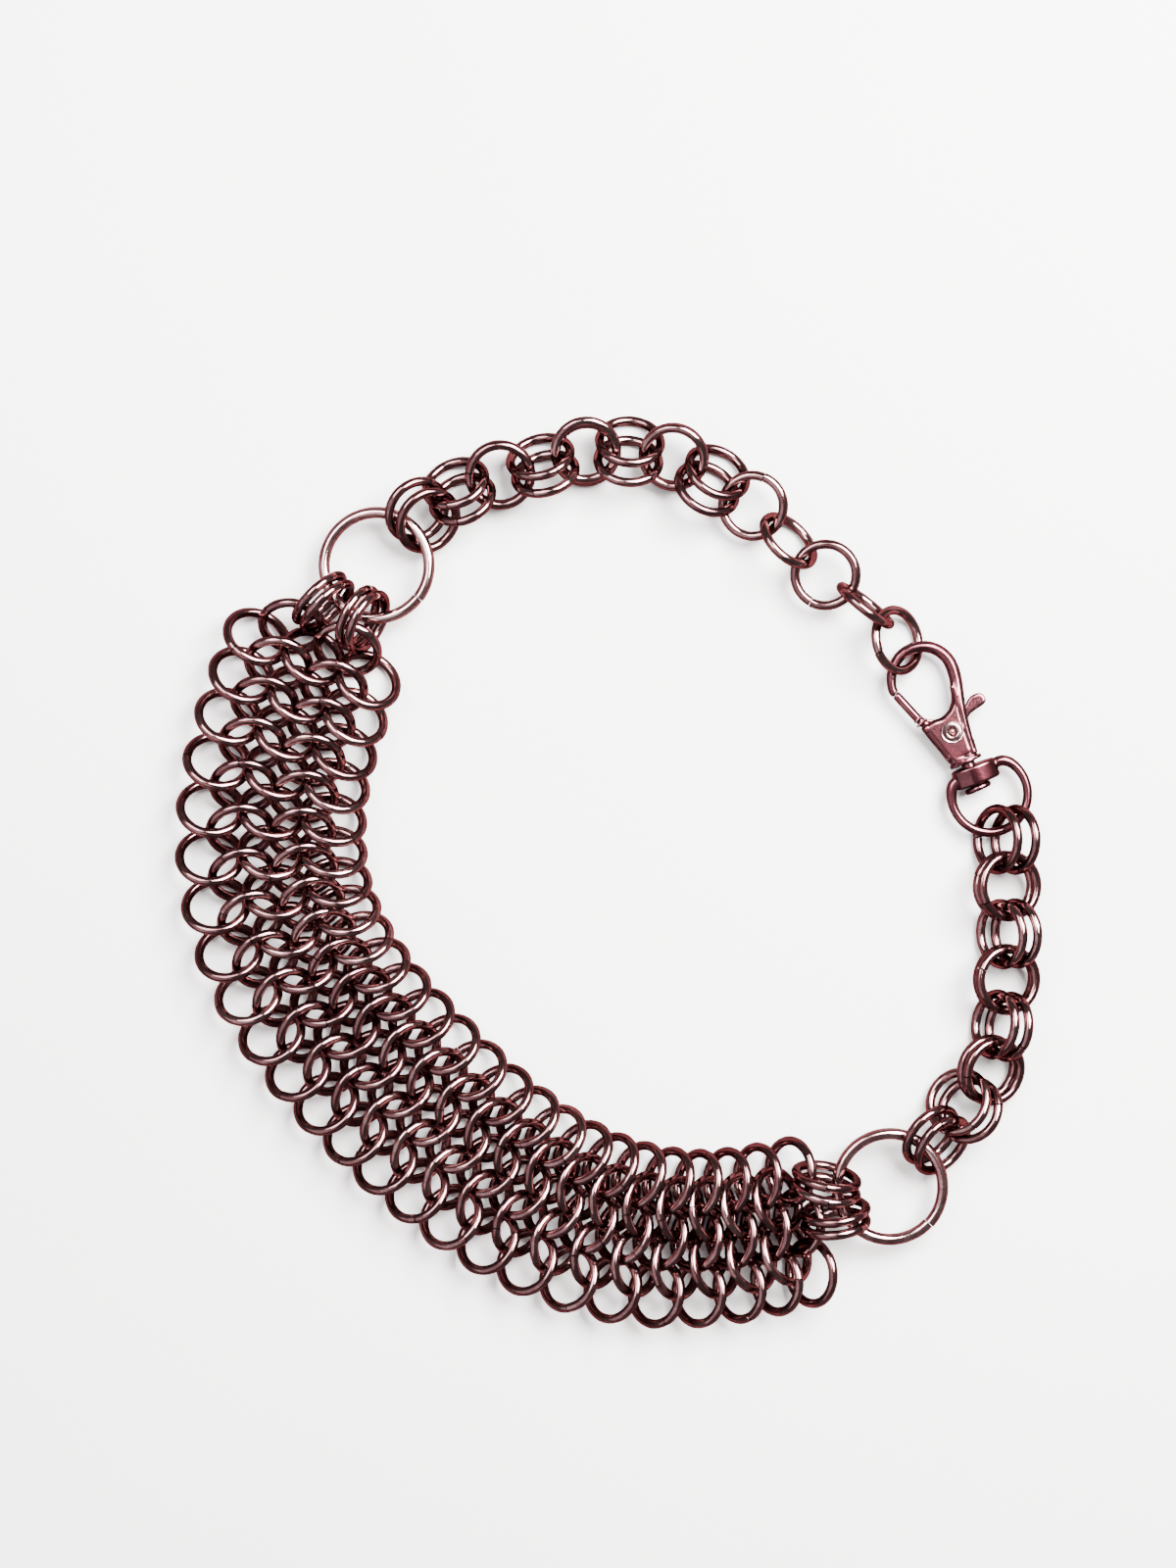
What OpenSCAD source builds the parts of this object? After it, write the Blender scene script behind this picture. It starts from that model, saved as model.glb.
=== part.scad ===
// Chainmail choker: a woven band of small rings, two chains of paired links,
// two larger rings, an extension of single links and a hinged hook clasp.
// Millimetres. It lies on z = 0, neck opening up, clasp towards +x.

/* [Rings] */
// wire thickness of the small rings
ring_wire = 1.5; // [1:0.1:2]
// outside diameter of the small rings
ring_outside = 11; // [9:0.5:13]
// wire thickness of the two larger rings
big_wire = 1.8; // [1.4:0.1:2.4]
// outside diameter of the two larger rings
big_outside = 18.2; // [16:0.2:22]

/* [Mail band] */
// how steeply the rings of the outer row lean, in degrees
outer_lean = 41; // [38:0.5:44]
// how far all the rings lie over like roof tiles, in degrees
shingle = 13; // [10:0.5:16]

/* [Clasp] */
// height of the clasp's middle above the surface
clasp_height = 2.8; // [2.2:0.1:3.4]
// thickness of the clasp's body
body_thickness = 3.4; // [3:0.1:4]
// wire thickness of the hook
hook_wire = 1.9; // [1.6:0.1:2.2]
// thickness of the sprung lever
lever_thickness = 1.2; // [1:0.1:1.4]

/* [Hidden] */
$fn = 48;

steel = "#4a4442";
dark_steel = "#393433";

ring_radius = (ring_outside - ring_wire) / 2;
big_radius = (big_outside - big_wire) / 2;
up = [0, 0, 1];

// where the middle of everything lies in the layout below
middle = [-0.646, -0.519, 0];

// Path of the band's middle row: x, y and the spacing of its rows, every three rings
path = [
    [-46.5, 32.5, 4.6], [-53, 15, 4.7], [-53.5, -4.5, 4.8],
    [-45.5, -21, 4.9], [-33, -34.5, 5.0], [-19.5, -47, 4.9],
    [-4, -56, 4.7], [13.5, -58.5, 4.2], [29, -55, 4.0]
];
path_last = len(path) - 1;
padded = concat([2 * path[0] - path[1]], path, [2 * path[path_last] - path[path_last - 1]]);

// lean, its change with pitch, shingle over the first value, lift and shift of each row
rows = [
    [outer_lean, 2, 0, 0.3, 0],
    [outer_lean + 1, 0, 0, 0, -0.4],
    [outer_lean - 1, 2, -4, 0.1, -0.1],
    [outer_lean + 1, 1, 2.5, 0.1, 0],
    [outer_lean - 1.5, 5, -2, 0.3, 0.3]
];
usual_pitch = 6;
usual_spacing = 4.6;

// Loose links: x, y, heading, lean, distance apart, offset and height of each pair
left_pairs = [
    [-29.4, 54.5, 46, -40, 1.8, -1.6, 4.6],
    [-23.8, 58.3, 24, 42, 1.8, 1.9, 4],
    [-17.4, 60.8, 11, -20, 1.8, 0.3, 4.3],
    [-10.8, 62.3, 17, 47, 1.95, 1.9, 4.3],
    [-4.1, 64.4, 9, -26, 1.85, 1.1, 4.4],
    [2.6, 64.5, -5, 40, 1.95, 2.3, 3.85],
    [9.5, 63.6, -18, -27, 1.85, 0.5, 4.3],
    [15.5, 60, -33, 41, 1.95, 2.3, 3.9]
];
right_pairs = [
    [61, 4.3, -91, -57, 2.35, -1.5, 4.75],
    [61.1, -2.9, -90, 21, 1.9, -0.1, 4.7],
    [61.4, -10.3, -88, -55, 2, -1.15, 4.75],
    [61.1, -17.4, -92, 19, 1.9, -0.45, 4.3],
    [60.3, -24.5, -99.5, -59.5, 1.9, -1, 4.9],
    [58.7, -31.5, -112, 26, 1.85, 0, 4.1],
    [54.5, -37, -126, -39, 1.75, -1.5, 4.3],
    [50.2, -42.3, -131.5, 48, 2, 1.3, 4.5]
];
left_connector_pairs = [
    [-44.7, 41, 44, -79, 1.8, -0.1, 5.9],
    [-38.6, 38.2, 62, -70, 1.9, 0.2, 5.8]
];

// Single rings: x, y, heading, lean and height
right_connector_places = [
    [33, -47.7, -10, 76.5, 6.55], [32.9, -49.65, -10, 75, 6.75],
    [34.4, -53.05, 8, 77, 6.3], [34.4, -54.9, 8, 77, 6.55]
];
extension = [
    [21.8, 56.05, -44, -15.5, 4.05], [27.3, 50.6, -44.5, 54, 4.6], [33, 45.3, -45, -11, 4.5],
    [39.1, 40.5, -37.5, 76.5, 5.4], [44.2, 35.2, -79, 41, 3.9]
];
big_rings = [[-36.6, 46.8, 86, 4.4, 4.2], [43, -49.5, 90, -1.5, 4.45]];

// One ring about a centre, its axis along n
module ring(centre, n, radius, wire) {
    translate(centre - middle)
        rotate([0, acos(n.z), atan2(n.y, n.x)])
        rotate_extrude()
        translate([radius, 0])
        circle(d = wire);
}

// Axis of a ring that leans to the left of its heading
function leaning(heading, lean) = cos(lean) * up + sin(lean) * [-sin(heading), cos(heading), 0];

// Two rings of one pair: place 1 is the upper one, -1 the lower one
module pair_ring(pair, place) {
    n = leaning(pair[2], pair[3]);
    side = leaning(pair[2], pair[3] + 90);
    centre = [pair.x, pair.y, pair[6]] + place / 2 * (pair[4] * n + pair[5] * side);
    ring(centre, n, ring_radius, ring_wire);
}

module single_ring(place, radius, wire) {
    ring([place.x, place.y, place[4]], leaning(place[2], place[3]), radius, wire);
}

// Smooth curve through the path's points
function weights(t) = [
    pow(1 - t, 3),
    3 * pow(t, 3) - 6 * t * t + 4,
    3 * t + 3 * t * t - 3 * pow(t, 3) + 1,
    pow(t, 3)
] / 6;
function piece(k) = max(0, min(path_last - 1, floor(k / 3)));
function on_path(k) =
    let (i = piece(k), w = weights(k / 3 - i))
    w[0] * padded[i] + w[1] * padded[i + 1] + w[2] * padded[i + 2] + w[3] * padded[i + 3];
function level(v) = [v.x, v.y, 0];
function unit(v) = v / norm(v);
function along(k) = unit(level(on_path(k + 0.25) - on_path(k - 0.25)));
function across(k) = [-along(k).y, along(k).x, 0];
function spot(k, row) = level(on_path(k)) + on_path(k).z * (row - 2) * across(k);

// A woven ring leans forwards or backwards along the band by turns of row
module woven_ring(k, row, way) {
    values = rows[row];
    extra_pitch = norm(spot(k + 0.5, row) - spot(k - 0.5, row)) - usual_pitch;
    extra_spacing = on_path(k).z - usual_spacing;
    lean = values[0] - values[1] * extra_pitch - 7 * extra_spacing;
    roll = values[2] - shingle + 1.7 * extra_pitch + 4.6 * extra_spacing;
    upright = cos(roll) * up - sin(roll) * across(k);
    n = way * sin(lean) * along(k) + cos(lean) * upright;
    height = ring_radius * sqrt(1 - n.z * n.z) + ring_wire / 2 + values[3];
    ring(spot(k, row) + values[4] * along(k) + height * up, n, ring_radius, ring_wire);
}

// Five rows, each ring through four of the next rows
module mail_band() {
    color(steel) {
        for (row = [0, 2, 4], k = [0:24]) {
            woven_ring(k, row, -1);
        }
        for (row = [1, 3], k = [-0.5:23.5]) {
            woven_ring(k, row, 1);
        }
    }
}

// Lays a piece out about the clasp's rivet, hook towards +y
module in_clasp() {
    translate([52.7, 21, clasp_height] - middle)
        rotate(24)
        children();
}

// Round bar between two points of the clasp's middle plane
module bar(from, to, thickness) {
    run = to - from;
    translate([from.x, from.y, 0])
        rotate([90, 0, atan2(run.y, run.x) + 90])
        cylinder(d = thickness, h = norm(run));
}

module plate(points, thickness) {
    linear_extrude(thickness, center = true)
        polygon(points);
}

// Body with its hook, the slot for the lever, the collar and the post of the swivel
module hook_body() {
    hook_centre = [-0.6, 9.5];
    hook_radius = 4.9;
    arm_top = hook_centre + hook_radius * [cos(10), -sin(10)];
    color(steel)
        in_clasp() {
            difference() {
                plate([
                    [-4.2, 3], [-2.3, 2.9], [0.6, 3.1], [2.3, 4.7], [3.8, 4], [3.5, 1.3],
                    [3, -2.2], [2.9, -4.4], [-2.4, -4.4], [-2.6, -2.2], [-3.4, 0.4]
                ], body_thickness);
                lever_slot();
                cylinder(r = 1.22, h = 5, center = true);
            }
            translate([hook_centre.x, hook_centre.y, 0])
                rotate(-10)
                rotate_extrude(angle = 194)
                translate([hook_radius, 0])
                circle(d = hook_wire);
            bar(arm_top, arm_top - 5.6 * [sin(10), cos(10)], hook_wire);
            translate([arm_top.x, arm_top.y, 0])
                sphere(d = hook_wire + 0.12);
            translate([-2.4, -5.7, -1.9])
                cube([5.6, 1.4, 3.8]);
            bar([0.4, -5], [0.4, -9.6], 2.2);
            bar([0.4, -9.2], [0.4, -10], 3.8);
        }
}

// Room for the lever from its rest place to fully open
module lever_slot() {
    translate([-6, -2.4, -0.8])
        cube([7, 8, 1.6]);
    translate([-6, -2.4, -0.8])
        cube([12, 5.2, 1.6]);
}

// Gate, hub and thumb tab in one flat lever
module lever() {
    color(dark_steel)
        in_clasp()
        difference() {
            union() {
                cylinder(r = 2.1, h = lever_thickness, center = true);
                plate([[-1.9, 0.9], [-4.4, 3.4], [-5.6, 8.3], [-4.5, 8.5], [-3.1, 4], [0.3, 2]], lever_thickness);
                plate([
                    [0, -2.1], [1.9, -0.9], [4.2, 1], [6.4, 1.7], [6.4, 3.6], [4.6, 3.4], [4, 2.5], [1, 1.6]
                ], lever_thickness);
                translate([6.3, 2.65, 0])
                    cylinder(r = 0.95, h = lever_thickness, center = true);
            }
            cylinder(r = 1.28, h = 5, center = true);
        }
}

// Tubular rivet that the lever turns on
module rivet() {
    color(steel)
        in_clasp()
        difference() {
            union() {
                cylinder(r = 1.2, h = body_thickness + 0.2, center = true);
                translate([0, 0, body_thickness / 2 + 0.02])
                    cylinder(r = 1.75, h = 0.35);
                translate([0, 0, -body_thickness / 2 - 0.37])
                    cylinder(r = 1.75, h = 0.35);
            }
            cylinder(r = 0.85, h = 6, center = true);
        }
}

// Block that turns on the post, with its round eye
module swivel_eye() {
    color(steel)
        in_clasp() {
            difference() {
                translate([-2.8, -9, -1.7])
                    cube([7.8, 2.7, 3.4]);
                bar([0.4, -6], [0.4, -9.2], 2.4);
            }
            translate([1.5, -11.3, 0])
                rotate(137)
                rotate_extrude(angle = 276)
                translate([6.1, 0])
                circle(d = 1.4);
        }
}

module left_connectors() {
    color(steel)
        for (pair = left_connector_pairs, place = [1, -1]) {
            pair_ring(pair, place);
        }
}

module right_connectors() {
    color(steel)
        for (place = right_connector_places) {
            single_ring(place, ring_radius, ring_wire);
        }
}

module left_big_ring() {
    color(steel)
        single_ring(big_rings[0], big_radius, big_wire);
}

module right_big_ring() {
    color(steel)
        single_ring(big_rings[1], big_radius, big_wire);
}

module left_link_01() {
    color(steel)
        pair_ring(left_pairs[0], 1);
}

module left_link_02() {
    color(steel)
        pair_ring(left_pairs[0], -1);
}

module left_link_03() {
    color(steel)
        pair_ring(left_pairs[1], 1);
}

module left_link_04() {
    color(steel)
        pair_ring(left_pairs[1], -1);
}

module left_link_05() {
    color(steel)
        pair_ring(left_pairs[2], 1);
}

module left_link_06() {
    color(steel)
        pair_ring(left_pairs[2], -1);
}

module left_link_07() {
    color(steel)
        pair_ring(left_pairs[3], 1);
}

module left_link_08() {
    color(steel)
        pair_ring(left_pairs[3], -1);
}

module left_link_09() {
    color(steel)
        pair_ring(left_pairs[4], 1);
}

module left_link_10() {
    color(steel)
        pair_ring(left_pairs[4], -1);
}

module left_link_11() {
    color(steel)
        pair_ring(left_pairs[5], 1);
}

module left_link_12() {
    color(steel)
        pair_ring(left_pairs[5], -1);
}

module left_link_13() {
    color(steel)
        pair_ring(left_pairs[6], 1);
}

module left_link_14() {
    color(steel)
        pair_ring(left_pairs[6], -1);
}

module left_link_15() {
    color(steel)
        pair_ring(left_pairs[7], 1);
}

module left_link_16() {
    color(steel)
        pair_ring(left_pairs[7], -1);
}

module right_link_01() {
    color(steel)
        pair_ring(right_pairs[0], 1);
}

module right_link_02() {
    color(steel)
        pair_ring(right_pairs[0], -1);
}

module right_link_03() {
    color(steel)
        pair_ring(right_pairs[1], 1);
}

module right_link_04() {
    color(steel)
        pair_ring(right_pairs[1], -1);
}

module right_link_05() {
    color(steel)
        pair_ring(right_pairs[2], 1);
}

module right_link_06() {
    color(steel)
        pair_ring(right_pairs[2], -1);
}

module right_link_07() {
    color(steel)
        pair_ring(right_pairs[3], 1);
}

module right_link_08() {
    color(steel)
        pair_ring(right_pairs[3], -1);
}

module right_link_09() {
    color(steel)
        pair_ring(right_pairs[4], 1);
}

module right_link_10() {
    color(steel)
        pair_ring(right_pairs[4], -1);
}

module right_link_11() {
    color(steel)
        pair_ring(right_pairs[5], 1);
}

module right_link_12() {
    color(steel)
        pair_ring(right_pairs[5], -1);
}

module right_link_13() {
    color(steel)
        pair_ring(right_pairs[6], 1);
}

module right_link_14() {
    color(steel)
        pair_ring(right_pairs[6], -1);
}

module right_link_15() {
    color(steel)
        pair_ring(right_pairs[7], 1);
}

module right_link_16() {
    color(steel)
        pair_ring(right_pairs[7], -1);
}

module extension_link_1() {
    color(steel)
        single_ring(extension[0], ring_radius, ring_wire);
}

module extension_link_2() {
    color(steel)
        single_ring(extension[1], ring_radius, ring_wire);
}

module extension_link_3() {
    color(steel)
        single_ring(extension[2], ring_radius, ring_wire);
}

module extension_link_4() {
    color(steel)
        single_ring(extension[3], ring_radius, ring_wire);
}

module extension_link_5() {
    color(steel)
        single_ring(extension[4], ring_radius, ring_wire);
}

mail_band();
left_connectors();
right_connectors();
left_big_ring();
right_big_ring();
left_link_01();
left_link_02();
left_link_03();
left_link_04();
left_link_05();
left_link_06();
left_link_07();
left_link_08();
left_link_09();
left_link_10();
left_link_11();
left_link_12();
left_link_13();
left_link_14();
left_link_15();
left_link_16();
right_link_01();
right_link_02();
right_link_03();
right_link_04();
right_link_05();
right_link_06();
right_link_07();
right_link_08();
right_link_09();
right_link_10();
right_link_11();
right_link_12();
right_link_13();
right_link_14();
right_link_15();
right_link_16();
extension_link_1();
extension_link_2();
extension_link_3();
extension_link_4();
extension_link_5();
hook_body();
lever();
rivet();
swivel_eye();
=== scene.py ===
"""Chainmail choker lying flat: butted wire rings, a cast snap hook and tarnished steel finishes."""
import math
import random

import bmesh
import bpy
import numpy
from mathutils import Matrix, Vector


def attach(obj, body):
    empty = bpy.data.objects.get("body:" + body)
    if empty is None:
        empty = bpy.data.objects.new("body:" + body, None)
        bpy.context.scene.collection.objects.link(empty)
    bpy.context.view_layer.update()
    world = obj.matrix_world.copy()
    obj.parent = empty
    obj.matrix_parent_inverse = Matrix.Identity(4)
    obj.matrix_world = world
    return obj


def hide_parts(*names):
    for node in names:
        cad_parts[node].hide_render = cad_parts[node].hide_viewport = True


MM = 0.001
ORIGIN = (0, 0, 0)
UPWARDS = (0, 0, 1)

# Points closer than this are one point, in metres
WELD = 0.00001

# Faces that meet at less than this angle are shaded as one curved skin
SMOOTH_ANGLE = math.radians(50)


def select_none():
    """Deselect every object."""
    bpy.ops.object.select_all(action="DESELECT")


def select_only(*pieces):
    """Select these pieces and nothing else, with the first one active."""
    select_none()
    for piece in pieces:
        piece.select_set(True)
    bpy.context.view_layer.objects.active = pieces[0]


def pick_points(piece, test):
    """In edit mode, select the points whose place passes a test."""
    shape = bmesh.from_edit_mesh(piece.data)
    bpy.ops.mesh.select_all(action="DESELECT")
    for point in shape.verts:
        point.select = test(point.co)
    shape.select_flush_mode()
    bmesh.update_edit_mesh(piece.data)


def apply_place():
    """Move the active piece's place and turn into its mesh."""
    bpy.ops.object.transform_apply(location=True, rotation=True, scale=True)


def finish_modifiers(piece):
    """Apply all of a piece's modifiers in order."""
    select_only(piece)
    for modifier in list(piece.modifiers):
        bpy.ops.object.modifier_apply(modifier=modifier.name)


def join(name, pieces):
    """Join pieces into one, under a new name."""
    select_only(*pieces)
    bpy.ops.object.join()
    piece = bpy.context.object
    piece.name = name
    piece.data.name = name
    return piece


# Rings

# Radius to the middle of the wire, and the wire's thickness, in metres
SMALL_RING = (4.75 * MM, 1.5 * MM)
LARGE_RING = (8.2 * MM, 1.8 * MM)

# Sides of the wire, and steps round a ring
WIRE_SIDES = 12
SMALL_STEPS = 40
LARGE_STEPS = 72

# Width of the cut in a ring, and how far its second end stands out of line, outwards and across
SMALL_CUTS = [
    (0.05 * MM, 0.07 * MM, 0.07 * MM),
    (0.03 * MM, -0.05 * MM, 0.05 * MM),
    (0.07 * MM, 0.03 * MM, -0.08 * MM),
]
LARGE_CUT = (0.06 * MM, 0.1 * MM, 0.1 * MM)

# Chamfer of the two ends: along the wire, and in from its surface
CUT_CHAMFER = 0.07 * MM
CUT_DROP = 0.16 * MM

# Where the cut lies on the large rings, in degrees from +x
LARGE_CUT_TURNS = {"left_big_ring": -39, "right_big_ring": -44}

# Shares of half a turn that a small ring's cut may lie from its highest point, one drawn per ring
CUT_SPREADS = (0.5, 1, 1)

# Decimals of a metre to which rings are put in order of their places
ORDER_DIGITS = 6

# How far each ring's pattern is moved along its wire, so that no two are alike
TONE_SHIFT = 500

# Start of the random draws
SEED = 11


def chamfer_end(step):
    """In edit mode, close the selected end of a wire and chamfer it by a step along the wire."""
    bpy.ops.mesh.edge_face_add()
    bpy.ops.mesh.inset(thickness=CUT_DROP, depth=0)
    bpy.ops.transform.translate(value=(0, step, 0))


def wire_ring(name, size, steps, cut):
    """Ring spun from its wire's section, cut open, both ends closed and the second end out of line."""
    radius, wire = size
    gap, outwards, across = cut
    select_none()
    bpy.ops.mesh.primitive_circle_add(
        vertices=WIRE_SIDES,
        radius=wire / 2,
        location=(radius, 0, 0),
        rotation=(math.pi / 2, 0, 0),
    )
    ring = bpy.context.object
    ring.name = name
    apply_place()
    turn = math.tau - (gap + 2 * CUT_CHAMFER) / radius
    bpy.ops.object.mode_set(mode="EDIT")
    bpy.ops.mesh.select_all(action="SELECT")
    bpy.ops.mesh.spin(steps=steps, angle=turn, center=ORIGIN, axis=UPWARDS)
    chamfer_end(-CUT_CHAMFER)
    bpy.ops.transform.translate(
        value=(outwards, 0, across),
        use_proportional_edit=True,
        proportional_edit_falloff="SMOOTH",
        proportional_size=radius,
        use_proportional_connected=True,
    )
    pick_points(ring, lambda place: place.x > 0 and abs(place.y) < WELD)
    chamfer_end(CUT_CHAMFER)
    bpy.ops.mesh.select_all(action="SELECT")
    bpy.ops.mesh.normals_make_consistent(inside=False)
    bpy.ops.object.mode_set(mode="OBJECT")
    wrap_along(ring, radius, wire)
    return ring


def wrap_along(ring, radius, wire):
    """UV map that runs along the wire, one unit to each thickness, and once round its section."""
    mesh = ring.data
    if not mesh.uv_layers:
        mesh.uv_layers.new(name="along")
    layer = mesh.uv_layers.active
    layer.name = "along"
    for face in mesh.polygons:
        middle_turn, middle_round = ring_angles(face.center, radius)
        for loop in face.loop_indices:
            place = mesh.vertices[mesh.loops[loop].vertex_index].co
            turn, around = ring_angles(place, radius)
            turn += math.tau * round((middle_turn - turn) / math.tau)
            around += math.tau * round((middle_round - around) / math.tau)
            layer.data[loop].uv = (turn * radius / wire, around / math.tau)


def ring_angles(place, radius):
    """Angle along a ring from its cut, and angle round its wire."""
    turn = math.atan2(place.y, place.x) % math.tau
    around = math.atan2(place.z, math.hypot(place.x, place.y) - radius)
    return turn, around


def ring_places(mesh):
    """Centre and upward axis of every ring in a mesh, in order of place."""
    shape = bmesh.new()
    shape.from_mesh(mesh)
    bmesh.ops.remove_doubles(shape, verts=shape.verts, dist=WELD)
    unseen = set(shape.verts)
    places = []
    while unseen:
        front = [unseen.pop()]
        island = []
        while front:
            point = front.pop()
            island.append(point.co.copy())
            for edge in point.link_edges:
                other = edge.other_vert(point)
                if other in unseen:
                    unseen.remove(other)
                    front.append(other)
        cloud = numpy.array(island)
        centre = (cloud.max(axis=0) + cloud.min(axis=0)) / 2
        spread = (cloud - cloud.mean(axis=0)).T @ (cloud - cloud.mean(axis=0))
        axis = Vector(numpy.linalg.eigh(spread)[1][:, 0])
        places.append((Vector(centre), axis if axis.z > 0 else -axis))
    shape.free()
    places.sort(key=lambda place: tuple(round(value, ORDER_DIGITS) for value in place[0]))
    return places


def square_to(axis):
    """Direction square to a ring's axis and to +x."""
    return axis.cross(Vector((1, 0, 0))).normalized()


def lay_ring(template, place, turn, tone):
    """Copy of a ring with its own mesh, its cut turned from +x, laid in its place and given a tone."""
    centre, axis = place
    ring = template.copy()
    ring.data = template.data.copy()
    bpy.context.collection.objects.link(ring)
    across = square_to(axis)
    stand = Matrix((across.cross(axis), across, axis)).transposed().to_4x4()
    ring.data.transform(Matrix.Translation(centre) @ stand @ Matrix.Rotation(turn, 4, "Z"))
    tones = ring.data.attributes.new("tone", "FLOAT", "POINT")
    tones.data.foreach_set("value", [tone] * len(ring.data.vertices))
    for corner in ring.data.uv_layers["along"].data:
        corner.uv.x += tone * TONE_SHIFT
    return ring


def any_turn(axis, chance):
    """Where a ring's cut lies: anywhere, but often nearer its highest point."""
    across = square_to(axis)
    highest = math.atan2(across.z, across.cross(axis).z)
    return highest + chance.choice(CUT_SPREADS) * chance.uniform(-math.pi, math.pi)


def dress_node(node, templates, chance, turns=None):
    """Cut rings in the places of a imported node's rings, as one piece."""
    rings = []
    for number, place in enumerate(ring_places(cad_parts[node].data)):
        turn = any_turn(place[1], chance) if turns is None else math.radians(turns[number])
        rings.append(lay_ring(chance.choice(templates), place, turn, chance.random()))
    piece = join("cut_rings_" + node, rings)
    select_only(piece)
    bpy.ops.object.shade_smooth_by_angle(angle=SMOOTH_ANGLE)
    return piece


# Clasp

# It is drawn in millimetres about its rivet, with the hook towards +y, then laid in its place
RIVET_PLACE = Vector((53.346 * MM, 21.519 * MM, 2.8 * MM))
CLASP_TURN = math.radians(24)
CLASP_FRAME = (
    Matrix.Translation(RIVET_PLACE)
    @ Matrix.Rotation(CLASP_TURN, 4, "Z")
    @ Matrix.Scale(MM, 4)
)

# Fineness: round a rod and along it, round a drum, over a bevelled rim and a plate's rim, and
# between two corners of a smooth outline
ROD_ROUNDNESS = 5
ROD_STEPS = 8
DRUM_SIDES = 48
RIM_STEPS = 4
PLATE_RIM_STEPS = 3
OUTLINE_STEPS = 6

# Order of a rod's curve
CUBIC = 4

# Points of the clasp closer than this are one point
CLASP_WELD = 0.0001

# Depth of every cutter that goes right through the clasp
CUTTER_DEPTH = 5

# Grain to which castings are melted, how often they are then smoothed, and how much each time
CASTING_GRAIN = 0.085
LEVER_GRAIN = 0.075
HOOK_SMOOTHINGS = 5
SWIVEL_SMOOTHINGS = 3
LEVER_SMOOTHINGS = 3
SMOOTHING = 0.5


def close_skin(threshold):
    """Merge the active piece's doubled points and turn its faces outwards."""
    bpy.ops.object.mode_set(mode="EDIT")
    bpy.ops.mesh.select_all(action="SELECT")
    bpy.ops.mesh.remove_doubles(threshold=threshold)
    bpy.ops.mesh.normals_make_consistent(inside=False)
    bpy.ops.object.mode_set(mode="OBJECT")


def skin_curve(name, line):
    """Mesh piece of a curve, its skin closed."""
    piece = bpy.data.objects.new(name, line)
    bpy.context.collection.objects.link(piece)
    select_only(piece)
    bpy.ops.object.convert(target="MESH")
    close_skin(CLASP_WELD)
    return bpy.context.object


def rod(name, stations):
    """Closed round rod along stations of x, y and radius in the clasp's plane."""
    line = bpy.data.curves.new(name, "CURVE")
    line.dimensions = "3D"
    line.bevel_depth = 1
    line.bevel_resolution = ROD_ROUNDNESS
    line.resolution_u = ROD_STEPS
    line.use_fill_caps = True
    spline = line.splines.new("NURBS")
    spline.points.add(len(stations) - 1)
    spline.order_u = CUBIC
    spline.use_endpoint_u = True
    for point, (x, y, radius) in zip(spline.points, stations):
        point.co = (x, y, 0, 1)
        point.radius = radius
    return skin_curve(name, line)


def thicken(piece, high, low, factor):
    """Make a rod thicker across the clasp's plane from one height down to another, without a step."""
    for point in piece.data.vertices:
        part = min(1, max(0, (high - point.co.y) / (high - low)))
        point.co.z *= 1 + (factor - 1) * part * part * (3 - 2 * part)


def plate(name, outline, thickness, rounding):
    """Flat closed plate of an outline, its rims rounded over."""
    line = bpy.data.curves.new(name, "CURVE")
    line.dimensions = "2D"
    line.fill_mode = "BOTH"
    line.extrude = thickness / 2 - rounding
    line.bevel_depth = rounding
    line.offset = -rounding
    line.bevel_resolution = PLATE_RIM_STEPS
    spline = line.splines.new("POLY")
    spline.points.add(len(outline) - 1)
    for point, (x, y) in zip(spline.points, outline):
        point.co = (x, y, 0, 1)
    spline.use_cyclic_u = True
    return skin_curve(name, line)


def round_rims(piece, width):
    """Bevel a piece's sharp edges."""
    rims = piece.modifiers.new("rims", "BEVEL")
    rims.width = width
    rims.segments = RIM_STEPS
    rims.limit_method = "ANGLE"
    finish_modifiers(piece)


def drum(name, start, end, radius, flatness, rounding):
    """Short cylinder along y between two places, flattened across, its rims bevelled if asked."""
    select_none()
    bpy.ops.mesh.primitive_cylinder_add(
        vertices=DRUM_SIDES,
        radius=radius,
        depth=abs(end[1] - start[1]),
        location=((start[0] + end[0]) / 2, (start[1] + end[1]) / 2, 0),
        rotation=(math.pi / 2, 0, 0),
    )
    piece = bpy.context.object
    piece.name = name
    apply_place()
    piece.data.transform(Matrix.Diagonal((1, 1, flatness, 1)))
    if rounding:
        round_rims(piece, rounding)
    return piece


def drum_across(name, radius, depth):
    """Cylinder through the clasp's thickness at the rivet."""
    select_none()
    bpy.ops.mesh.primitive_cylinder_add(vertices=DRUM_SIDES, radius=radius, depth=depth)
    piece = bpy.context.object
    piece.name = name
    return piece


def block(name, low, high, rounding=0):
    """Block between two corners, its edges bevelled if asked."""
    select_none()
    bpy.ops.mesh.primitive_cube_add(size=1)
    piece = bpy.context.object
    piece.name = name
    middle = (Vector(low) + Vector(high)) / 2
    size = Vector(high) - Vector(low)
    piece.data.transform(Matrix.Translation(middle) @ Matrix.Diagonal((*size, 1)))
    if rounding:
        round_rims(piece, rounding)
    return piece


def smooth_outline(corners):
    """Closed outline through corner points, rounded as a bent strip would be."""
    outline = []
    count = len(corners)
    for number in range(count):
        before, start, end, after = (
            Vector(corners[(number + shift) % count]) for shift in (-1, 0, 1, 2)
        )
        for step in range(OUTLINE_STEPS):
            part = step / OUTLINE_STEPS
            outline.append(
                0.5
                * (
                    2 * start
                    + (end - before) * part
                    + (2 * before - 5 * start + 4 * end - after) * part**2
                    + (3 * start - before - 3 * end + after) * part**3
                )
            )
    return [tuple(point) for point in outline]


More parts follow.
